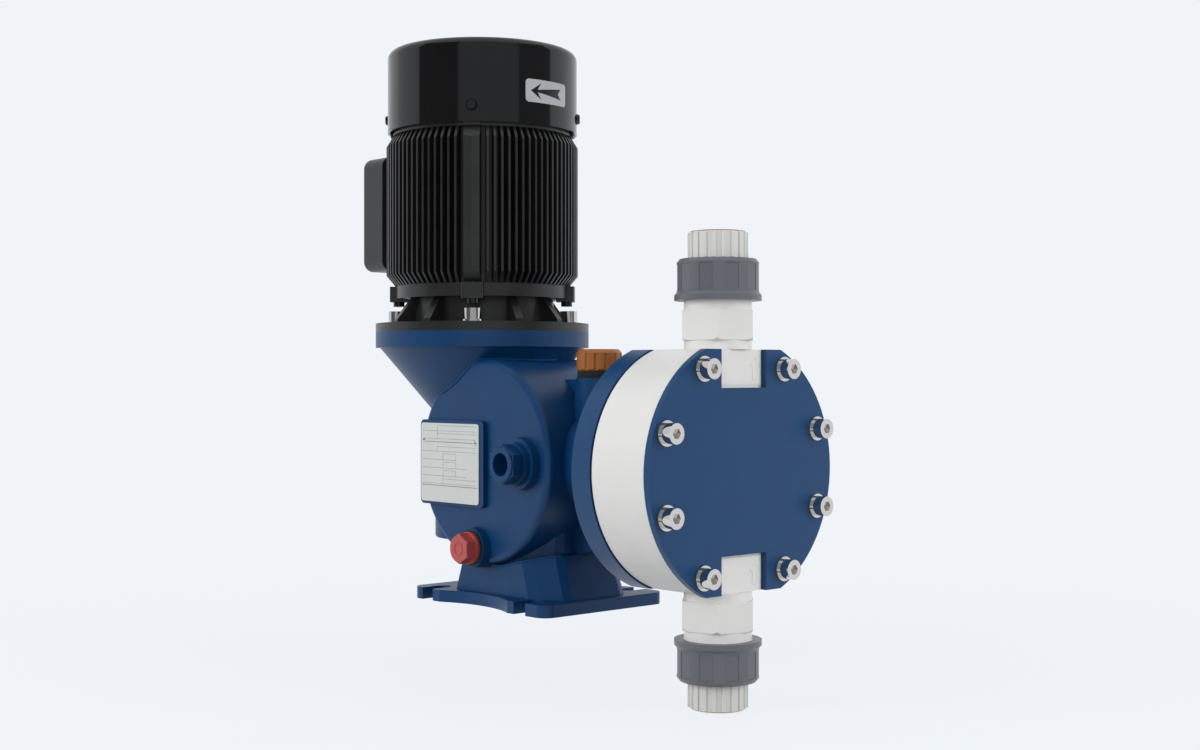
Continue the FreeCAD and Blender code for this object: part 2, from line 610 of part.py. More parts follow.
def drive_shield():
    z = DRIVE_Z
    shell = turned([(20, z - 5.5), (55, z - 5.5), (55, z), (80, z), (80, z + 6.5), (55, z + 6.5), (53, z + 25),
                    (64.5, z + 25), (64.5, FRAME_Z0), (STATOR_R, FRAME_Z0), (STATOR_R, z + 28), (47, z + 20),
                    (26, z + 20), (26, z + 22), (20, z + 22)], "z", AT_MOTOR)
    rib = slab([(50, -3, z + 6), (69, -3, z + 6), (69, -3, z + 9), (56, -3, z + 25.5), (50, -3, z + 25.5)], (0, 6, 0))
    rib.translate(V(*AT_MOTOR))
    lug = box(MOTOR_X + 56, MOTOR_X + 69.5, -8, 8, z + 23, FRAME_Z0)
    lug = round_edges(lug, 2, lambda e: e.BoundBox.XMin > MOTOR_X + 69.4 and e.BoundBox.ZMax - e.BoundBox.ZMin > 5)
    parts = [shell] + [spin(rib, 90 * k + s * 16, "z", AT_MOTOR) for k in range(4) for s in (-1, 1)]
    parts += [spin(lug, 45 + 90 * k, "z", AT_MOTOR) for k in range(4)]
    shape = join(parts)
    for x, y in around(4, 65, 45):
        shape = shape.cut(cyl("z", 4.5, z - 1, 9, (MOTOR_X + x, y, 0)))
    for x, y in around(4, 63.5, 45):
        shape = shape.cut(cyl("z", 2.6, z + 20, 30, (MOTOR_X + x, y, 0)))
    return shape


def flange_bolts():
    seat = DRIVE_Z + 6.5 + WASHER_T + LOCK_T
    return [socket_screw("z", 4.0, 6.5, HEAD_H, 24, (MOTOR_X + x, y, seat)) for x, y in around(4, 65, 45)]


def flange_washers():
    z = DRIVE_Z + 6.5
    out = []
    for x, y in around(4, 65, 45):
        at = (MOTOR_X + x, y, 0)
        out.append(tube("z", 8, 4.2, z, WASHER_T, at).fuse(tube("z", 6.4, 4.2, z + WASHER_T, LOCK_T, at)))
    return out


def tie_bolts():
    z = DRIVE_Z + 23
    return [socket_screw("z", 2.5, 4.2, 3.5, 127, (MOTOR_X + x, y, z), -1) for x, y in around(4, 63.5, 45)]


def fin_outline(z):
    pitch = 4.2
    pts = []
    for quarter in range(4):
        for k in range(18):
            mid = 90 * quarter + (k - 8.5) * pitch
            for r, a in ((FIN_ROOT, -1.15), (FIN_R, -0.66), (FIN_R, 0.66), (FIN_ROOT, 1.15)):
                t = radians(mid + a)
                pts.append((r * cos(t), r * sin(t), z))
        for r, a in ((FIN_ROOT, -5.6), (FIN_R - 0.4, -4.6), (FIN_R, 0.0), (FIN_R - 0.4, 4.6), (FIN_ROOT, 5.6)):
            t = radians(90 * quarter + 45 + a)
            pts.append((r * cos(t), r * sin(t), z))
    return pts


def stator_frame():
    fins = slab(fin_outline(FRAME_Z0), (0, 0, FRAME_Z1 - FRAME_Z0))
    fins.translate(V(*AT_MOTOR))
    lathe = turned([(0, FRAME_Z0), (65.5, FRAME_Z0), (73, FRAME_Z0 + 9), (73, FRAME_Z1 - 10), (67, FRAME_Z1),
                    (0, FRAME_Z1)], "z", AT_MOTOR)
    # the fins behind the terminal box are milled flush with its seat
    seat = box(TB_X, MOTOR_X - 50, -35, 35, TB_Z - 37, TB_Z + 37)
    flush = box(TB_X - 3, TB_X, -20, 20, FRAME_Z0 - 1, FRAME_Z1 + 1)
    shape = fins.common(lathe).cut(flush).fuse(seat).cut(cyl("z", STATOR_R, FRAME_Z0 - 1, 200, AT_MOTOR))
    for x, y in around(4, 63.5, 45):
        shape = shape.cut(cyl("z", 2.6, FRAME_Z0 - 1, 200, (MOTOR_X + x, y, 0)))
    return shape.cut(cyl("x", 9, MOTOR_X - 80, 40, (0, 0, TB_Z)))


def stator_core():
    return tube("z", STATOR_R, 38, 246, 78, AT_MOTOR).fuse(tube("z", 52, 41, 238, 94, AT_MOTOR))


def rear_shield():
    z = FRAME_Z1
    shell = turned([(17.5, z - 6), (24, z - 6), (24, z), (STATOR_R, z - 3), (STATOR_R, z), (67, z), (67, z + 5),
                    (30, z + 9), (17.5, z + 9)], "z", AT_MOTOR)
    lug = box(MOTOR_X + 62, MOTOR_X + 70, -6, 6, z, z + 20).common(cyl("z", 69, z, 20, AT_MOTOR))
    shape = join([shell] + [spin(lug, 45 + 90 * k, "z", AT_MOTOR) for k in range(4)])
    for x, y in around(4, 63.5, 45):
        shape = shape.cut(cyl("z", 2.5, z - 8, 8 + 4, (MOTOR_X + x, y, 0)))
    for k in range(4):
        shape = shape.cut(spin(cyl("x", 2.2, MOTOR_X + 60, 12, (0, 0, z + 14)), 45 + 90 * k, "z", AT_MOTOR))
    return shape


def motor_bearings():
    return [ball_bearing("z", 20, 9.5 + RUN, DRIVE_Z + 6, 14, AT_MOTOR),
            ball_bearing("z", 17.5, 8 + RUN, FRAME_Z1 - 4, 12, AT_MOTOR),
            ball_bearing("z", 16, 7 + RUN, 62, 10, AT_MOTOR)]


def wheel_bearings():
    at = (WHEEL_X, 0, AXIS_Z)
    return [ball_bearing("y", 15, 8 + RUN, CAVITY_FRONT - 7, 7, at),
            ball_bearing("y", 15, 8 + RUN, DRUM_BACK - 6, 7, at)]


def rotor():
    shaft = join([cyl("z", 7, 58, 100, AT_MOTOR), cyl("z", 9.5, 150, 180, AT_MOTOR), cyl("z", 8, 330, 26, AT_MOTOR),
                  cyl("z", 6.5, 350, 32, AT_MOTOR)])
    core = turned([(9, 242), (30, 242), (30, 250), (37.4, 250), (37.4, 320), (30, 320), (30, 328), (9, 328)],
                  "z", AT_MOTOR)
    return shaft.fuse(core)


def cooling_fan():
    hub = tube("z", 14, 6.5, 358, 22, AT_MOTOR)
    disc = tube("z", 48, 13, 358, 3, AT_MOTOR)
    blade = box(MOTOR_X + 12, MOTOR_X + 58, -1.2, 1.2, 360, 380)
    return join([hub, disc] + [spin(blade, 45 * k, "z", AT_MOTOR) for k in range(8)])


def fan_cover():
    z0, z1, r, t = FRAME_Z1 + 2.5, 405.5, COVER_R, 1.6
    outer = cyl("z", r, z0, z1 - z0, AT_MOTOR)
    outer = round_edges(outer, 6, lambda e: e.BoundBox.ZMin > z1 - 0.1)
    inner = cyl("z", r - t, z0, z1 - z0 - 2, AT_MOTOR)
    inner = round_edges(inner, 5, lambda e: e.BoundBox.ZMin > z1 - 2.1)
    shape = outer.cut(inner)
    slot = box(MOTOR_X + 20, MOTOR_X + 56, -1.6, 1.6, z1 - 6, z1 + 1)
    for k in range(24):
        shape = shape.cut(spin(slot, 15 * k, "z", AT_MOTOR))
    for k in range(4):
        shape = shape.cut(spin(cyl("x", 2.3, MOTOR_X + 60, 14, (0, 0, FRAME_Z1 + 14)), 45 + 90 * k, "z", AT_MOTOR))
    return shape


def fan_cover_screws():
    screw = cyl("x", 2.2, MOTOR_X + 63, 8, (0, 0, FRAME_Z1 + 14))
    head = cone("x", 4.2, 3.2, MOTOR_X + COVER_R, 2.4, (0, 0, FRAME_Z1 + 14))
    screw = screw.fuse(head)
    return [spin(screw, 45 + 90 * k, "z", AT_MOTOR) for k in range(4)]


# terminal box
LID_SPOTS = [(y, TB_Z + z) for y in (-TB_HALF + 6.5, TB_HALF - 6.5) for z in (-TB_RISE + 6.5, TB_RISE - 6.5)]


def terminal_box():
    shell = box(TB_X - 16, TB_X, -TB_HALF, TB_HALF, TB_Z - TB_RISE, TB_Z + TB_RISE)
    shell = round_edges(shell, 8, lambda e: abs(e.Length - 16) < 0.01)
    room = box(TB_X - 17, TB_X - 3, 4 - TB_HALF, TB_HALF - 4, TB_Z - TB_RISE + 4, TB_Z + TB_RISE - 4)
    shell = shell.cut(round_edges(room, 4, lambda e: abs(e.Length - 14) < 0.01))
    shell = shell.cut(cyl("x", 9, TB_X - 4, 6, (0, 0, TB_Z)))
    for y, z in LID_SPOTS:
        shell = shell.fuse(cyl("x", 3.8, TB_X - 16, 14, (0, y, z)))
        shell = shell.cut(cyl("x", 1.8, TB_X - 17, 10, (0, y, z)))
    return shell.cut(cyl("y", 6, TB_HALF - 8, 10, (TB_X - 8, 0, TB_Z - 22)))


def terminal_lid():
    lid = box(TB_X - 28, TB_X - 16, -TB_HALF, TB_HALF, TB_Z - TB_RISE, TB_Z + TB_RISE)
    lid = round_edges(lid, 8, lambda e: abs(e.Length - 12) < 0.01)
    lid = round_edges(lid, 5, lambda e: e.BoundBox.XMax < TB_X - 27.9)
    room = box(TB_X - 24, TB_X - 15, 5 - TB_HALF, TB_HALF - 5, TB_Z - TB_RISE + 5, TB_Z + TB_RISE - 5)
    lid = lid.cut(round_edges(room, 4, lambda e: abs(e.Length - 9) < 0.01))
    for y, z in LID_SPOTS:
        lid = lid.fuse(cyl("x", 3.8, TB_X - 25, 9, (0, y, z))).cut(cyl("x", 1.8, TB_X - 29, 16, (0, y, z)))
        lid = lid.cut(cyl("x", 3.4, TB_X - 29, 2.2, (0, y, z)))
    return lid


def lid_screws():
    return [cyl("x", 1.8, TB_X - 27, 18, (0, y, z)).fuse(cyl("x", 3.2, TB_X - 28.4, 1.6, (0, y, z)))
            for y, z in LID_SPOTS]


def gland():
    at, y = (TB_X - 8, 0, TB_Z - 22), TB_HALF
    thread = cyl("y", 6, y - 3, 4, at)
    nut = hexagon("y", 17, y, 6, at)
    dome = turned([(0, y + 6), (8.2, y + 6), (8.2, y + 16), (6, y + 20), (0, y + 20)], "y", at)
    return join([thread, nut, dome]).cut(cyl("y", 4, y + 12, 10, at))


def build():
    save("base_plate", base_plate())
    save("base_plate_screws", [base_screw(x, y) for x, y in BASE_SCREWS])
    save("gear_casing", gear_casing())
    save("side_cover", side_cover())
    save("side_cover_screws", cover_screws())
    save("oil_drain_plug", drain_plug())
    save("drain_plug_washer", tube("y", 12.5, 6.5, PLUG_SEAT - 1.6, 1.6, (PLUG_X, 0, PLUG_Z)))
    save("oil_filler_cap", filler_cap())
    save("filler_cap_gasket", tube("z", 15.4, 9, CAP_SEAT, 5, (CAP_X, 0, 0)))
    save("worm", worm())
    save("worm_wheel", worm_wheel())
    save("eccentric_shaft", eccentric_shaft())
    save("eccentric_bearings", eccentric_bearings())
    save("wheel_bearings", wheel_bearings())
    save("pushrod", pushrod())
    save("return_spring", return_spring())
    save("guide_bush", guide_bush())
    save("diaphragm_hub", diaphragm_hub())
    save("diaphragm", diaphragm())
    save("backing_plate", backing_plate())
    save("backing_plate_screws", backing_screws())
    save("head_body", head_body())
    save("front_plate", front_plate())
    save("head_screws", head_screws())
    save("head_washers", head_washers())
    for side, name in ((1, "discharge"), (-1, "suction")):
        save(name + "_valve_body", valve_body(side))
        save(name + "_ball_seat", ball_seat(side))
        save(name + "_ball", ball(side))
        save(name + "_union_seal", union_seal(side))
        save(name + "_union_nut", union_nut(side))
        save(name + "_tail_piece", tail_piece(side))
        save(name + "_threaded_insert", threaded_insert(side))
    save("adjusting_spindle", adjusting_spindle())
    save("stroke_dial", stroke_dial())
    save("stroke_knob", stroke_knob())
    save("motor_flange_shield", drive_shield())
    save("motor_flange_bolts", flange_bolts())
    save("motor_flange_washers", flange_washers())
    save("motor_tie_bolts", tie_bolts())
    save("stator_frame", stator_frame())
    save("stator_core", stator_core())
    save("rear_end_shield", rear_shield())
    save("motor_bearings", motor_bearings())
    save("rotor", rotor())
    save("cooling_fan", cooling_fan())
    save("fan_cover", fan_cover())
    save("fan_cover_screws", fan_cover_screws())
    save("terminal_box", terminal_box())
    save("terminal_box_lid", terminal_lid())
    save("terminal_lid_screws", lid_screws())
    save("cable_gland", gland())


os.makedirs("parts", exist_ok=True)
build()
print("built")
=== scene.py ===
import bpy
import math
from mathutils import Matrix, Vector


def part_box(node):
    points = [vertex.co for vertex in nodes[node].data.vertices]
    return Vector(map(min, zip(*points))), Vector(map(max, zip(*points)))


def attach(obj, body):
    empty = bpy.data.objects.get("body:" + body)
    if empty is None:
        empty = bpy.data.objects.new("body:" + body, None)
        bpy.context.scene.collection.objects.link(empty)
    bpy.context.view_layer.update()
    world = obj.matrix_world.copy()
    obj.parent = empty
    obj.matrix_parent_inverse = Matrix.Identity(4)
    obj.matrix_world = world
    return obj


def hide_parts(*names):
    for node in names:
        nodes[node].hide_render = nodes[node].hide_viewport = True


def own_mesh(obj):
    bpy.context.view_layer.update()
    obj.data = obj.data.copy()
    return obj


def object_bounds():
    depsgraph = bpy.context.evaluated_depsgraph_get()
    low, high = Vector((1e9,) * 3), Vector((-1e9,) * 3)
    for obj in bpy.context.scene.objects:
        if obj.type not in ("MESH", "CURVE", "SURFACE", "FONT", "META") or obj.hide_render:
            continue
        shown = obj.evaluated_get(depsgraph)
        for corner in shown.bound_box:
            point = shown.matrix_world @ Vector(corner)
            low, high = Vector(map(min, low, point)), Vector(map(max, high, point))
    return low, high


print("loading the frame")
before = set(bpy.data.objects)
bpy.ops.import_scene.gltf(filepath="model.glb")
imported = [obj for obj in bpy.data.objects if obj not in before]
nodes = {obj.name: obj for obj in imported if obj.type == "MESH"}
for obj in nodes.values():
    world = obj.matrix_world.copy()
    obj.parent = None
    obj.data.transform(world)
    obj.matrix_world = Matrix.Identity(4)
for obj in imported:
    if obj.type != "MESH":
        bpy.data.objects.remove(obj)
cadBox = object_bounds()

# places that the pump's sub-parts share, mm
pump = {"motorX": -63.0, "axisZ": 102.5, "spindleX": 40.5, "screwCircle": 75.0, "stroke": 6.0}

# camera first: the photograph is 1200 x 750, taken level with the pump head
shot = {
    "place": (0.90667, -0.77310, 0.1636),
    "turn": 47.34,
    "focalPixels": 1638.6,
    "width": 1200,
    "sensor": 36,
    "farEnd": 60,
}
cameraData = bpy.data.cameras.new("pumpCamera")
cameraData.sensor_width = shot["sensor"]
cameraData.lens = shot["focalPixels"] * shot["sensor"] / shot["width"]
cameraData.clip_end = shot["farEnd"]
camera = bpy.data.objects.new("pumpCamera", cameraData)
bpy.context.scene.collection.objects.link(camera)
camera.location = shot["place"]
camera.rotation_euler = (math.radians(90), 0, math.radians(shot["turn"]))
bpy.context.scene.camera = camera
bpy.context.scene.view_settings.view_transform = "Standard"
print("camera ready")


# small helpers for materials and meshes
def colour(hexValue):
    parts = [int(hexValue[i:i + 2], 16) / 255 for i in (1, 3, 5)]
    return tuple(c / 12.92 if c <= 0.04045 else ((c + 0.055) / 1.055) ** 2.4 for c in parts) + (1.0,)


def addNode(tree, kind, settings=None, links=None):
    # settings: node properties or socket values by name; links: socket name -> source socket
    node = tree.nodes.new(kind)
    for key, value in (settings or {}).items():
        if hasattr(node, key) and key not in node.inputs:
            setattr(node, key, value)
        else:
            node.inputs[key].default_value = value
    for key, source in (links or {}).items():
        tree.links.new(source, node.inputs[key])
    return node


def newMaterial(name):
    material = bpy.data.materials.new(name)
    material.use_nodes = True
    tree = material.node_tree
    return material, tree, tree.nodes["Principled BSDF"]


cloudEdges = (0.35, 0.65)  # where a cloud of the second colour begins and is full, as shares of the noise


def finish(name, hexColour, roughness, metallic=0.0, ior=1.5, grain=0.0, grainSize=1.0, mottle=0.0,
           second=None, cloud=18.0, sheen=0.0):
    # grain is a bump height in mm, grainSize its period in mm, mottle a spread of roughness,
    # second a neighbouring colour that drifts in over clouds of so many mm
    material, tree, shader = newMaterial(name)
    shader.inputs["Base Color"].default_value = colour(hexColour)
    shader.inputs["Roughness"].default_value = roughness
    shader.inputs["Metallic"].default_value = metallic
    if not metallic:
        shader.inputs["IOR"].default_value = ior
    shader.inputs["Sheen Weight"].default_value = sheen
    material.diffuse_color = colour(hexColour)
    if grain or mottle or second:
        place = addNode(tree, "ShaderNodeTexCoord")
        if grain:
            noise = addNode(tree, "ShaderNodeTexNoise", {"Scale": 1000.0 / grainSize, "Detail": 3.0},
                            {"Vector": place.outputs["Object"]})
            bump = addNode(tree, "ShaderNodeBump", {"Strength": 1.0, "Distance": grain / 1000},
                           {"Height": noise.outputs["Fac"]})
            tree.links.new(bump.outputs["Normal"], shader.inputs["Normal"])
        wide = addNode(tree, "ShaderNodeTexNoise", {"Scale": 1000.0 / cloud, "Detail": 3.0},
                       {"Vector": place.outputs["Object"]})
        if second:
            ramp = addNode(tree, "ShaderNodeValToRGB", {}, {"Fac": wide.outputs["Fac"]})
            for stop, spot, tone in zip(ramp.color_ramp.elements, cloudEdges, (hexColour, second)):
                stop.position = spot
                stop.color = colour(tone)
            tree.links.new(ramp.outputs["Color"], shader.inputs["Base Color"])
        if mottle:
            spread = {"To Min": roughness - mottle, "To Max": roughness + mottle}
            band = addNode(tree, "ShaderNodeMapRange", spread, {"Value": wide.outputs["Fac"]})
            tree.links.new(band.outputs["Result"], shader.inputs["Roughness"])
    return material


def dress(material, *names):
    for name in names:
        piece = nodes[name]
        if piece.data.materials:
            for i in range(len(piece.data.materials)):
                piece.data.materials[i] = material
        else:
            piece.data.materials.append(material)


def deselectAll():
    if bpy.context.object and bpy.context.object.mode != "OBJECT":
        bpy.ops.object.mode_set(mode="OBJECT")
    bpy.ops.object.select_all(action="DESELECT")


def settle(piece):
    # bake place, turn and size into the mesh
    deselectAll()
    piece.select_set(True)
    bpy.context.view_layer.objects.active = piece
    bpy.ops.object.transform_apply(location=True, rotation=True, scale=True)
    return piece


def wear(piece, material, body="housing"):
    piece.data.materials.clear()
    piece.data.materials.append(material)
    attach(piece, body)
    return piece


def bead(name, points, radius, material, closed=False, body="housing"):
    # a slim smooth tube through points in mm
    deselectAll()
    curve = bpy.data.curves.new(name, "CURVE")
    curve.dimensions = "3D"
    curve.bevel_depth = radius / 1000
    curve.bevel_resolution = 3
    curve.use_fill_caps = True
    spline = curve.splines.new("POLY")
    spline.points.add(len(points) - 1)
    for spot, point in zip(spline.points, points):
        spot.co = (*[c / 1000 for c in point], 1)
    spline.use_cyclic_u = closed
    piece = bpy.data.objects.new(name, curve)
    bpy.context.scene.collection.objects.link(piece)
    piece.select_set(True)
    bpy.context.view_layer.objects.active = piece
    bpy.ops.object.convert(target="MESH")
    piece = bpy.context.object
    bpy.ops.object.shade_smooth()
    return wear(piece, material, body)


# finishes
# enamel over cast aluminium: deep saturated blue, half gloss, with the faint orange peel of a sprayed coat
castEnamel = finish("castEnamel", "#03345F", 0.4, ior=1.39, grain=0.03, grainSize=2.4, mottle=0.03,
                    second="#043864")
# the same enamel on the machined plates: smoother, and its colour set a shade lighter than on the castings
plateEnamel = finish("plateEnamel", "#053A67", 0.38, ior=1.44, grain=0.004, grainSize=1.6, mottle=0.02,
                     second="#083D69")
# black enamel on the motor castings: dark enough that only the edges catch light
motorEnamel = finish("motorEnamel", "#1B1B1B", 0.34, grain=0.012, grainSize=1.8, mottle=0.04,
                     second="#1F1F1F")
# baked gloss on deep-drawn steel sheet: near mirror, so the studio stands in it as upright bands
sheetGloss = finish("sheetGloss", "#0B0B0C", 0.09, grain=0.0006, grainSize=3.0, mottle=0.015,
                    second="#0D0D0E")
# the terminal box is moulded, its black a shade greyer and duller than the castings
boxBlack = finish("boxBlack", "#29292B", 0.42, grain=0.01, grainSize=0.8, mottle=0.04, second="#2D2D2F")
# A2 stainless screws, turned and electropolished: bright with crisp dark reflections
stainless = finish("stainless", "#D6D2CE", 0.07, metallic=1.0, mottle=0.02, cloud=3.0)
# ground and hardened steel of the drive parts: an even grey with broad soft highlights
groundSteel = finish("groundSteel", "#A5A6A8", 0.3, metallic=1.0, mottle=0.06, cloud=4.0)
# centrifugally cast bronze of the worm wheel and the guide bush: warm yellow, cloudy with tarnish
gearBronze = finish("gearBronze", "#B08A4A", 0.32, metallic=1.0, mottle=0.06, cloud=5.0)
# moulded PVDF: chalky white, a soft sheen and no colour of its own
mouldedWhite = finish("mouldedWhite", "#E0E0DE", 0.34, ior=1.42, grain=0.004, grainSize=0.8, mottle=0.03,
                      second="#DDDDDC")
# tail pieces: the same resin a shade greyer, because their deep flutes shade each other
fluteWhite = finish("fluteWhite", "#D3D3D1", 0.4, ior=1.42, grain=0.004, grainSize=0.8, mottle=0.03,
                    cloud=9.0)
# moulded grey PVC of the union nuts: dull and a little cloudy
mouldedGrey = finish("mouldedGrey", "#5C5F66", 0.38, ior=1.53, grain=0.008, grainSize=0.7, mottle=0.04,
                     second="#5F6269")
# nitrile rubber: matt black with a dusty bloom
nitrile = finish("nitrile", "#121212", 0.7, grain=0.01, grainSize=0.5, mottle=0.05, sheen=0.1)
# pigmented polyamide of the filler cap and the drain plug: colour a little uneven, soft highlights
capNylon = finish("capNylon", "#95591F", 0.38, ior=1.53, grain=0.01, grainSize=0.8, mottle=0.04,
                  second="#9C5F26")
plugNylon = finish("plugNylon", "#A94743", 0.34, ior=1.53, grain=0.01, grainSize=0.8, mottle=0.04,
                   second="#B04B46")
# ceramic balls: near white and glassy
ceramic = finish("ceramic", "#ECEAE4", 0.12, ior=1.6, mottle=0.02, second="#E9E6DF")
# lacquered windings and core: dark copper under uneven varnish
lacquer = finish("lacquer", "#6E3B1C", 0.3, grain=0.2, grainSize=1.2, mottle=0.08,
                 second="#5E3118", cloud=2.0)
# black glass-filled polyamide of fan, gland and knob: a greyish black with a fine grain
blackNylon = finish("blackNylon", "#17171A", 0.45, ior=1.53, grain=0.015, grainSize=0.7, mottle=0.05)
# thread insert at the pipe ends: a tan rim with a dull metal glint
insertBrass = finish("insertBrass", "#A9733C", 0.3, metallic=0.8, mottle=0.05, cloud=3.0)

dress(castEnamel, "gear_casing", "side_cover", "base_plate")
dress(plateEnamel, "front_plate", "backing_plate")
dress(motorEnamel, "motor_flange_shield", "stator_frame", "rear_end_shield")
dress(boxBlack, "terminal_box", "terminal_box_lid")
dress(sheetGloss, "fan_cover", "motor_tie_bolts", "fan_cover_screws", "terminal_lid_screws")
dress(stainless, "head_screws", "head_washers", "motor_flange_bolts", "motor_flange_washers",
      "side_cover_screws", "stroke_dial", "diaphragm_hub")
dress(groundSteel, "base_plate_screws", "worm", "eccentric_shaft", "eccentric_bearings", "wheel_bearings",
      "pushrod", "return_spring", "backing_plate_screws", "adjusting_spindle", "motor_bearings", "rotor")
dress(gearBronze, "worm_wheel", "guide_bush")
dress(nitrile, "drain_plug_washer", "filler_cap_gasket", "diaphragm", "discharge_union_seal",
      "suction_union_seal")
dress(mouldedWhite, "head_body", "discharge_valve_body", "suction_valve_body", "discharge_ball_seat",
      "suction_ball_seat")
dress(fluteWhite, "discharge_tail_piece", "suction_tail_piece")
dress(mouldedGrey, "discharge_union_nut", "suction_union_nut")
dress(insertBrass, "discharge_threaded_insert", "suction_threaded_insert")
dress(ceramic, "discharge_ball", "suction_ball")
dress(capNylon, "oil_filler_cap")
dress(plugNylon, "oil_drain_plug")
dress(lacquer, "stator_core")
dress(blackNylon, "cooling_fan", "cable_gland", "stroke_knob")
print("finishes on")

# room: pale floor, even world, lamps that reflections don't see, and cards that only reflections see
room = {
    "floorZ": cadBox[0][2] - 0.0006, "floorSize": 40, "pale": "#F0F4F9", "bounce": "#A8A8A8",
    "nearFloor": 0.3, "farFloor": 0.9, "shadowShare": 0.09, "worldLight": 0.44,
    "centre": (0.02, 0.0), "aimZ": 0.2, "cardRadius": 3.0, "cardTop": 3.0, "cardFaces": 180,
}
lampRing = {  # degrees round from the camera towards its right, distance, height, size, watts
    "keyFromLeft": (-66, 2.1, 0.85, 1.2, 28), "fillFromRight": (62, 2.1, 0.7, 1.2, 22),
    "frontSoft": (-4, 2.4, 0.5, 1.4, 9), "softTop": (0, 0.3, 2.3, 1.6, 5),
    "backSoft": (172, 2.4, 1.0, 1.4, 16),
}
cardRing = {  # degrees from, degrees to, lower edge, how bright
    "brightLeft": (-120, -80, -1, 0.85), "darkLeft": (-80, -28, -1, 0.13), "greyMiddle": (-28, 46, -1, 0.5),
    "darkRight": (46, 92, 0.55, 0.2), "lowRight": (46, 74, -1, 0.2),
}
towardsCamera = math.atan2(shot["place"][1], shot["place"][0] - room["centre"][0])


def seenBackground(tree):
    # 1 for the rays that should meet the pale background: the camera's, mirrored and refracted ones
    rays = addNode(tree, "ShaderNodeLightPath")
    first = addNode(tree, "ShaderNodeMath", {"operation": "MAXIMUM"},
                    {0: rays.outputs["Is Camera Ray"], 1: rays.outputs["Is Glossy Ray"]})
    return addNode(tree, "ShaderNodeMath", {"operation": "MAXIMUM"},
                   {0: first.outputs[0], 1: rays.outputs["Is Transmission Ray"]}).outputs[0]


def paleFloor():
    deselectAll()
    bpy.ops.mesh.primitive_plane_add(size=room["floorSize"], location=(0, 0, room["floorZ"]))
    floor = bpy.context.object
    floor.name = "studioFloor"
    material, tree, shader = newMaterial("paleFloor")
    output = tree.nodes["Material Output"]
    shader.inputs["Base Color"].default_value = colour(room["bounce"])
    shader.inputs["Roughness"].default_value = 0.9
    shader.inputs["Specular IOR Level"].default_value = 0.0
    catcher = addNode(tree, "ShaderNodeBsdfDiffuse", {"Color": colour(room["pale"])})
    glow = addNode(tree, "ShaderNodeEmission", {"Color": colour(room["pale"]), "Strength": 1.0})
    # the shadow under the pump fades into the plain background a metre out
    place = addNode(tree, "ShaderNodeTexCoord")
    reach = addNode(tree, "ShaderNodeVectorMath", {"operation": "LENGTH"}, {0: place.outputs["Object"]})
    fade = addNode(tree, "ShaderNodeMapRange",
                   {"From Min": room["nearFloor"], "From Max": room["farFloor"],
                    "To Min": 1.0 - room["shadowShare"], "To Max": 1.0}, {"Value": reach.outputs["Value"]})
    seen = addNode(tree, "ShaderNodeMixShader", {},
                   {0: fade.outputs[0], 1: catcher.outputs[0], 2: glow.outputs[0]})
    mixed = addNode(tree, "ShaderNodeMixShader", {},
                    {0: seenBackground(tree), 1: shader.outputs[0], 2: seen.outputs[0]})
    tree.links.new(mixed.outputs[0], output.inputs["Surface"])
    floor.data.materials.append(material)


def paleWorld():
    world = bpy.data.worlds.new("paleWorld")
    bpy.context.scene.world = world
    world.use_nodes = True
    tree = world.node_tree
    back = tree.nodes["Background"]
    back.inputs["Color"].default_value = (1, 1, 1, 1)
    back.inputs["Strength"].default_value = room["worldLight"]
    seen = addNode(tree, "ShaderNodeBackground", {"Color": colour(room["pale"]), "Strength": 1.0})
    mixed = addNode(tree, "ShaderNodeMixShader", {},
                    {0: seenBackground(tree), 1: back.outputs[0], 2: seen.outputs[0]})
    tree.links.new(mixed.outputs[0], tree.nodes["World Output"].inputs["Surface"])


def ringPlace(degrees, distance, height):
    turn = towardsCamera + math.radians(degrees)
    x, y = room["centre"]
    return (x + distance * math.cos(turn), y + distance * math.sin(turn), height)


def softLamp(name, degrees, distance, height, size, power):
    lampData = bpy.data.lights.new(name, "AREA")
    lampData.size = size
    lampData.energy = power
    lamp = bpy.data.objects.new(name, lampData)
    bpy.context.scene.collection.objects.link(lamp)
    lamp.location = ringPlace(degrees, distance, height)
    aim = Vector((*room["centre"], room["aimZ"])) - lamp.location
    lamp.rotation_euler = aim.to_track_quat("-Z", "Y").to_euler()
    lamp.visible_glossy = False


def reflectionCard(name, start, end, lowest, level):
    # an upright arc of card round the pump, seen in gloss and chrome only
    deselectAll()
    high = room["cardTop"] - lowest
    bpy.ops.mesh.primitive_cylinder_add(
        vertices=room["cardFaces"], radius=room["cardRadius"], depth=high, end_fill_type="NOTHING",
        location=(*room["centre"], lowest + high / 2), rotation=(0, 0, towardsCamera))
    card = settle(bpy.context.object)
    card.name = name
    bpy.ops.object.mode_set(mode="EDIT")
    bpy.ops.mesh.select_mode(type="FACE")
    bpy.ops.mesh.select_all(action="DESELECT")
    bpy.ops.object.mode_set(mode="OBJECT")
    for face in card.data.polygons:
        spot = face.center - Vector((*room["centre"], 0))
        turn = math.degrees(math.atan2(spot.y, spot.x) - towardsCamera)
        turn = (turn + 180) % 360 - 180
        face.select = not start < turn < end
    bpy.ops.object.mode_set(mode="EDIT")
    bpy.ops.mesh.delete(type="FACE")
    bpy.ops.object.mode_set(mode="OBJECT")
    material, tree, shader = newMaterial(name)
    glow = addNode(tree, "ShaderNodeEmission", {"Color": colour(room["pale"]), "Strength": level})
    tree.links.new(glow.outputs[0], tree.nodes["Material Output"].inputs["Surface"])
    card.data.materials.append(material)
    for ray in ("camera", "diffuse", "shadow", "transmission", "volume_scatter"):
        setattr(card, "visible_" + ray, False)


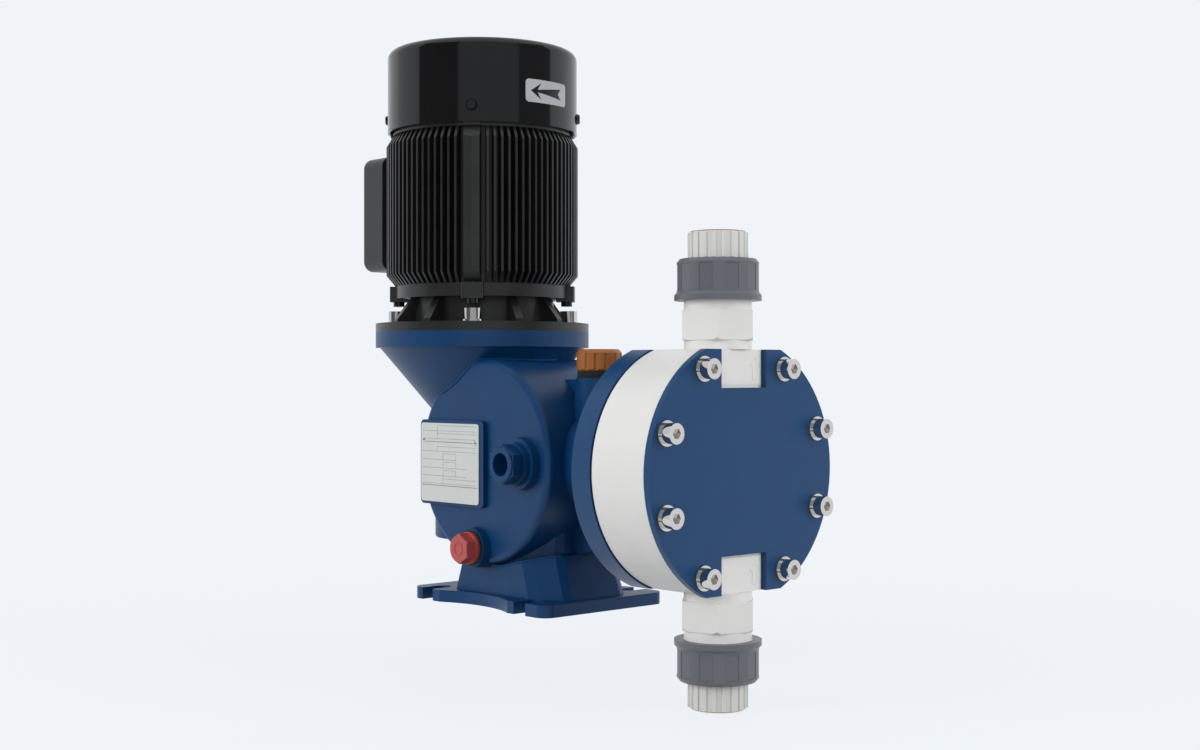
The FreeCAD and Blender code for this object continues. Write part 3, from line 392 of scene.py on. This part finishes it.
paleFloor()
paleWorld()
for name, values in lampRing.items():
    softLamp(name, *values)
for name, values in cardRing.items():
    reflectionCard(name, *values)
print("room ready")

# identity plate: bright sheet with blank ruled fields and two rivets
plate = {
    "x": (-70.6, -3.0), "z": (71.4, 128.7), "y": -51.02, "thick": 0.7, "corner": 2.4, "edge": 0.15,
    "line": 0.24, "bold": 0.5, "inkRise": 0.02, "inkThick": 0.06,
    "rivetR": 1.9, "rivetFlat": 0.55, "rivets": ((-67.4, 115.8), (-7.0, 114.7)),
}


def roundedSheet(name, x0, x1, z0, z1, yBack, thick, corner, bevel):
    # an upright sheet with round corners and a softened rim; sizes in mm
    deselectAll()
    middle = ((x0 + x1) / 2000, (yBack - thick / 2) / 1000, (z0 + z1) / 2000)
    bpy.ops.mesh.primitive_cube_add(size=1, location=middle)
    piece = bpy.context.object
    piece.name = name
    piece.scale = ((x1 - x0) / 1000, thick / 1000, (z1 - z0) / 1000)
    settle(piece)
    bpy.ops.object.mode_set(mode="EDIT")
    bpy.ops.mesh.select_mode(type="EDGE")
    bpy.ops.mesh.select_all(action="DESELECT")
    bpy.ops.object.mode_set(mode="OBJECT")
    for edge in piece.data.edges:
        a, b = (piece.data.vertices[i].co for i in edge.vertices)
        edge.select = abs(a.x - b.x) < 1e-6 and abs(a.z - b.z) < 1e-6
    bpy.ops.object.mode_set(mode="EDIT")
    bpy.ops.mesh.bevel(offset=corner / 1000, segments=6)
    bpy.ops.object.mode_set(mode="OBJECT")
    soft = piece.modifiers.new("edge", "BEVEL")
    soft.width = bevel / 1000
    soft.segments = 2
    soft.limit_method = "ANGLE"
    bpy.ops.object.modifier_apply(modifier="edge")
    return piece


# anodised aluminium sheet, satin: warm pale grey with the grain of the rolling along X
platePale = finish("platePale", "#C6CAC7", 0.4, grain=0.002, grainSize=0.6, mottle=0.04, second="#C9CCCA")
# screen-printed ink lines: grey blue, duller than the sheet
plateInk = finish("plateInk", "#6F7F88", 0.5, mottle=0.02)
badge = roundedSheet("identityPlate", *plate["x"], *plate["z"], plate["y"], plate["thick"], plate["corner"],
                     plate["edge"])
wear(badge, platePale)

# all in shares of the plate: level lines (from, to, height), bold ones, and upright ones (at, from, to)
levelLines = [
    (0.29, 0.96, 0.965), (0.03, 0.96, 0.90), (0.29, 0.96, 0.865), (0.03, 0.96, 0.80),
    (0.29, 0.96, 0.70), (0.03, 0.96, 0.64), (0.39, 0.61, 0.612), (0.03, 0.61, 0.535),
    (0.39, 0.61, 0.505), (0.03, 0.80, 0.43), (0.39, 0.61, 0.40), (0.03, 0.80, 0.33),
    (0.39, 0.96, 0.292), (0.03, 0.96, 0.232),
]
boldLines = [(0.08, 0.91, 0.757), (0.02, 0.97, 0.205)]
uprightLines = [
    (0.29, 0.80, 0.965), (0.29, 0.64, 0.70), (0.39, 0.535, 0.612), (0.61, 0.535, 0.612), (0.39, 0.43, 0.505),
    (0.61, 0.43, 0.505), (0.39, 0.232, 0.40), (0.61, 0.33, 0.40),
]
spanX = plate["x"][1] - plate["x"][0]
spanZ = plate["z"][1] - plate["z"][0]
plateFront = plate["y"] - plate["thick"]
strips = [(a, b, h, h + plate["line"] / spanZ) for a, b, h in levelLines]
strips += [(a, b, h, h + plate["bold"] / spanZ) for a, b, h in boldLines]
strips += [(a, a + plate["line"] / spanX, low, high) for a, low, high in uprightLines]
inkPieces = []
for a, b, low, high in strips:
    centre = (plate["x"][0] + (a + b) / 2 * spanX, plateFront - plate["inkRise"],
              plate["z"][0] + (low + high) / 2 * spanZ)
    bpy.ops.mesh.primitive_cube_add(size=1, location=[c / 1000 for c in centre])
    strip = bpy.context.object
    strip.scale = ((b - a) * spanX / 1000, plate["inkThick"] / 1000, (high - low) * spanZ / 1000)
    inkPieces.append(strip)
deselectAll()
for strip in inkPieces:
    strip.select_set(True)
bpy.context.view_layer.objects.active = inkPieces[0]
bpy.ops.object.join()
ink = bpy.context.object
ink.name = "identityPlateLines"
settle(ink)
wear(ink, plateInk)

for side, (x, z) in zip(("motorSide", "headSide"), plate["rivets"]):
    deselectAll()
    bpy.ops.mesh.primitive_uv_sphere_add(radius=plate["rivetR"] / 1000, segments=24, ring_count=12,
                                         location=(x / 1000, plateFront / 1000, z / 1000))
    rivet = bpy.context.object
    rivet.name = "plateRivet_" + side
    rivet.scale = (1, plate["rivetFlat"], 1)
    settle(rivet)
    bpy.ops.object.shade_smooth()
    wear(rivet, stainless)
print("identity plate done")

# rotation label on the fan cover: a bent silver sticker with a plain arrow
label = {
    "radius": 71.12, "y": 4.0, "z": 368.2, "wide": 40.3, "high": 16.6, "corner": 2.8,
    "thick": 0.12, "arrowThick": 0.08, "cutStep": 1.5, "cuts": range(-11, 18),
}


def wrapOnMotor(piece, radius):
    # bend a flat piece drawn in the Y-Z plane round the motor axis, facing +X
    for point in piece.data.vertices:
        reach = (radius + point.co.x * 1000) / 1000
        turn = point.co.y / (radius / 1000)
        x = pump["motorX"] / 1000 + reach * math.cos(turn)
        point.co = Vector((x, reach * math.sin(turn), point.co.z))


def flatOutline(name, points, thick):
    # a prism from (y, z) points in mm, thick along X, cut across so that it can bend
    deselectAll()
    mesh = bpy.data.meshes.new(name)
    mesh.from_pydata([(0, y / 1000, z / 1000) for y, z in points], [], [list(range(len(points)))])
    piece = bpy.data.objects.new(name, mesh)
    bpy.context.scene.collection.objects.link(piece)
    piece.select_set(True)
    bpy.context.view_layer.objects.active = piece
    bpy.ops.object.mode_set(mode="EDIT")
    for cut in label["cuts"]:
        bpy.ops.mesh.select_all(action="SELECT")
        bpy.ops.mesh.bisect(plane_co=(0, cut * label["cutStep"] / 1000, 0), plane_no=(0, 1, 0))
    bpy.ops.mesh.select_all(action="SELECT")
    bpy.ops.mesh.extrude_region_move(TRANSFORM_OT_translate={"value": (thick / 1000, 0, 0)})
    bpy.ops.mesh.select_all(action="SELECT")
    bpy.ops.mesh.normals_make_consistent(inside=False)
    bpy.ops.object.mode_set(mode="OBJECT")
    return piece


def roundedPoints(wide, high, corner, yMid, zMid, steps=4):
    # the outline of a rectangle with round corners, a quarter turn after the other
    points = []
    across, up = wide / 2 - corner, high / 2 - corner
    for quarter, (y, z) in enumerate(((across, up), (-across, up), (-across, -up), (across, -up))):
        for step in range(steps + 1):
            turn = math.radians(90 * (quarter + step / steps))
            points.append((yMid + y + corner * math.cos(turn), zMid + z + corner * math.sin(turn)))
    return points


# silver polyester label: satin grey
stickerSilver = finish("stickerSilver", "#A6A9AE", 0.35, mottle=0.02, second="#A9ACB0")
# its printed arrow: plain black with the label's own gloss
stickerInk = finish("stickerInk", "#0C0C0E", 0.35, mottle=0.02)
stickerOutline = roundedPoints(label["wide"], label["high"], label["corner"], label["y"], label["z"])
sticker = flatOutline("rotationLabel", stickerOutline, label["thick"])
wrapOnMotor(sticker, label["radius"])
wear(sticker, stickerSilver)
arrowHalf = [(-11.8, 0), (-2.8, -6.0), (-6.0, -0.9), (17.6, -3.9), (14.2, 0)]  # (y, z) from tip to notch
arrowPoints = arrowHalf + [(y, -z) for y, z in reversed(arrowHalf[1:-1])]
arrow = flatOutline("rotationArrow", [(y, label["z"] + z) for y, z in arrowPoints], label["arrowThick"])
wrapOnMotor(arrow, label["radius"] + label["thick"])
wear(arrow, stickerInk)
print("rotation label done")

# fillets where the castings run together: the eye reads them as one thin light line
cast = {
    "drumX": -4.5, "drumR": 72.5, "rimR": 4.5, "faceY": -47.5,
    "coneTopR": 76.8, "coneTopZ": 184.0, "slope": 0.84, "bead": 1.1,
    "meetsBetween": (166.0, 183.0), "halvings": 30,
    "faceHeights": (150.2, 151, 152, 153.5, 155, 157, 159, 161, 163, 165, 167, 168.5),
    "rimDepths": (-47.2, -46.5, -45.5, -44, -42, -38, -33, -28, -22, -16, -10, -4, 2, 8, 14),
}


def coneX(y, z):
    # where the hopper's cone is at this depth and height, on the side of the pump head
    radius = cast["coneTopR"] - (cast["coneTopZ"] - z) * cast["slope"]
    return pump["motorX"] + math.sqrt(max(radius ** 2 - y ** 2, 0.0))


def overRim(y):
    # the height at which the cone of the hopper meets the drum, y behind its face
    into = min(max(cast["faceY"] + cast["rimR"] - y, 0.0), cast["rimR"])
    drumR = cast["drumR"] - cast["rimR"] + math.sqrt(cast["rimR"] ** 2 - into ** 2)
    low, high = cast["meetsBetween"]
    for step in range(cast["halvings"]):
        z = (low + high) / 2
        if math.hypot(coneX(y, z) - cast["drumX"], z - pump["axisZ"]) < drumR:
            low = z
        else:
            high = z
    return (coneX(y, z), y, z)


seam = [(coneX(cast["faceY"], z), cast["faceY"], z) for z in cast["faceHeights"]]
seam += [overRim(y) for y in cast["rimDepths"]]
bead("hopperSeam", seam, cast["bead"], castEnamel)

foot = {  # pairs are at the foot's lower and upper end
    "z": (8.5, 39.5), "right": (64.5, 53.5), "half": (42.5, 41.0),
    "level": 29.0, "upper": 38.0, "bend": (10.0, 50.0),
    # along from the head end, inward from the side
    "corner": [(-95, 0), (-25, 1), (-16, 5), (-3, 14), (0, 20)],
    "along": (-33, -20, -5, 5, 10, 15, 20, 25, 28, 30, 34, 38, 42, 46, 50, 52, 53), "bead": 0.8,
}


def footEdge(x):
    # the upper front edge of the splayed foot: level, then rising to the head, and round the corner there
    along = min(max((x - foot["bend"][0]) / (foot["bend"][1] - foot["bend"][0]), 0.0), 1.0)
    z = foot["level"] + along * (foot["upper"] - foot["level"])
    share = (z - foot["z"][0]) / (foot["z"][1] - foot["z"][0])
    right, half = [a + share * (b - a) for a, b in (foot["right"], foot["half"])]
    inward = 0.0
    for (x0, y0), (x1, y1) in zip(foot["corner"], foot["corner"][1:]):
        if right + x0 <= x:
            inward = y0 + (y1 - y0) * min((x - right - x0) / (x1 - x0), 1.0)
    return (min(x, right), inward - half, z)


bead("footSeam", [footEdge(x) for x in foot["along"]], foot["bead"], castEnamel)
print("casting fillets done")

# the nose of the near boss is cast as a hexagon behind its round end: its flats catch the key one by one
nose = {"y": (-66.3, -56.8), "cornerR": 14.1, "wall": 1.8, "edge": 0.7, "smoothUnder": 35}
deselectAll()
bpy.ops.mesh.primitive_cylinder_add(
    vertices=6, radius=nose["cornerR"] / 1000, depth=(nose["y"][1] - nose["y"][0]) / 1000,
    end_fill_type="NOTHING", rotation=(math.pi / 2, 0, 0),
    location=(pump["spindleX"] / 1000, sum(nose["y"]) / 2000, pump["axisZ"] / 1000))
hexagon = settle(bpy.context.object)
hexagon.name = "noseHexagon"
wall = hexagon.modifiers.new("wall", "SOLIDIFY")
wall.thickness = nose["wall"] / 1000
wall.offset = -1
edge = hexagon.modifiers.new("edge", "BEVEL")
edge.width = nose["edge"] / 1000
edge.segments = 3
for step in ("wall", "edge"):
    bpy.ops.object.modifier_apply(modifier=step)
bpy.ops.object.shade_smooth_by_angle(angle=math.radians(nose["smoothUnder"]))
wear(hexagon, castEnamel)

# the return spring as a coil of wire in place of the part's own; it leans on the bush
coil = {"x": (72.0, 98.0), "radius": 13.5, "wire": 1.6, "turns": 4.5, "steps": 180}
run = coil["x"][1] - coil["x"][0]
path = []
for step in range(coil["steps"] + 1):
    share = step / coil["steps"]
    turn = 2 * math.pi * coil["turns"] * share
    path.append((coil["x"][0] + coil["wire"] + share * (run - 2 * coil["wire"]),
                 coil["radius"] * math.sin(turn), pump["axisZ"] - coil["radius"] * math.cos(turn)))
spring = bead("returnSpring", path, coil["wire"], groundSteel)
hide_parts("return_spring")
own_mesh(spring)

# the knob's eight flutes hide its turn, so a white pointer line runs down its skirt to the dial
pointer = {"line": 0.7, "skirt": ((24.0, 0.8), (24.0, 5.0), (21.2, 7.8))}  # radius, height over the dial
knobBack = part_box("stroke_knob")[0][1] * 1000
# white paint rubbed into the line: flat, and the only light thing on the knob
pointerPaint = finish("pointerPaint", "#E4E4E0", 0.5, mottle=0.04, second="#DCDCD8")
pointerLine = [(pump["spindleX"], knobBack + up, pump["axisZ"] + out) for out, up in pointer["skirt"]]
bead("knobPointer", pointerLine, pointer["line"], pointerPaint, body="adjuster")
print("nose, spring and pointer done")

# moulded marks: a plain ring on the drain plug and an upward flow arrow on each tab of the head
marks = {
    "plugRing": 4.4, "ringWire": 0.5, "tabX": 199.0, "tabY": 13.8, "tabZ": (36.0, 168.0), "arrowWire": 0.28,
    # across, up
    "arrow": [(0, 7.2), (4.2, 1.6), (1.9, 1.6), (1.9, -7), (-1.9, -7), (-1.9, 1.6), (-4.2, 1.6)],
}
plugLow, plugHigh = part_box("oil_drain_plug")
deselectAll()
bpy.ops.mesh.primitive_torus_add(
    major_radius=marks["plugRing"] / 1000, minor_radius=marks["ringWire"] / 1000,
    major_segments=48, minor_segments=10, rotation=(math.pi / 2, 0, 0),
    location=((plugLow[0] + plugHigh[0]) / 2, plugLow[1], (plugLow[2] + plugHigh[2]) / 2))
ring = settle(bpy.context.object)
ring.name = "drainPlugRing"
bpy.ops.object.shade_smooth()
wear(ring, plugNylon)

for side, z in zip(("suction", "discharge"), marks["tabZ"]):
    outline = [(marks["tabX"], marks["tabY"] + across, z + up) for across, up in marks["arrow"]]
    bead("flowArrow_" + side, outline, marks["arrowWire"], mouldedWhite, closed=True)
print("moulded marks done")

# the split of each spring washer, a dark slanting gap
split = {
    "angles": [half + a for half in (0, 180) for a in (-60, -20, 20, 60)], "x": (204.45, 206.15),
    "proud": 0.1, "radii": (4.6, 6.46), "wide": 0.75, "edge": 0.12, "slant": 24, "lean": 14,
}
inner, outer = split["radii"]
lean = math.radians(split["lean"])
# the gap's shadow: dull black, so no light comes out of it
gapShadow = finish("gapShadow", "#0B0B0C", 0.6, mottle=0.05)
for number, angle in enumerate(split["angles"]):
    y = pump["screwCircle"] * math.cos(math.radians(angle))
    z = pump["axisZ"] + pump["screwCircle"] * math.sin(math.radians(angle))
    deselectAll()
    bpy.ops.mesh.primitive_cube_add(size=1)
    gap = bpy.context.object
    gap.name = "washerSplit_%d" % number
    thick = split["x"][1] - split["x"][0] + split["proud"]
    gap.scale = (thick / 1000, (outer - inner) / 1000, split["wide"] / 1000)
    settle(gap)
    gap.rotation_euler = (0, math.radians(split["slant"]), 0)
    gap.location = (sum(split["x"]) / 2000, (y - (inner + outer) / 2) / 1000, z / 1000)
    settle(gap)
    bpy.ops.object.mode_set(mode="EDIT")
    bpy.ops.mesh.select_all(action="SELECT")
    bpy.ops.mesh.bevel(offset=split["edge"] / 1000, segments=1)
    bpy.ops.object.mode_set(mode="OBJECT")
    # turned a little below the horizontal round its own screw
    for point in gap.data.vertices:
        dy = point.co.y - y / 1000
        dz = point.co.z - z / 1000
        point.co.y = y / 1000 + dy * math.cos(lean) - dz * math.sin(lean)
        point.co.z = z / 1000 + dy * math.sin(lean) + dz * math.cos(lean)
    wear(gap, gapShadow)
print("washer splits done")
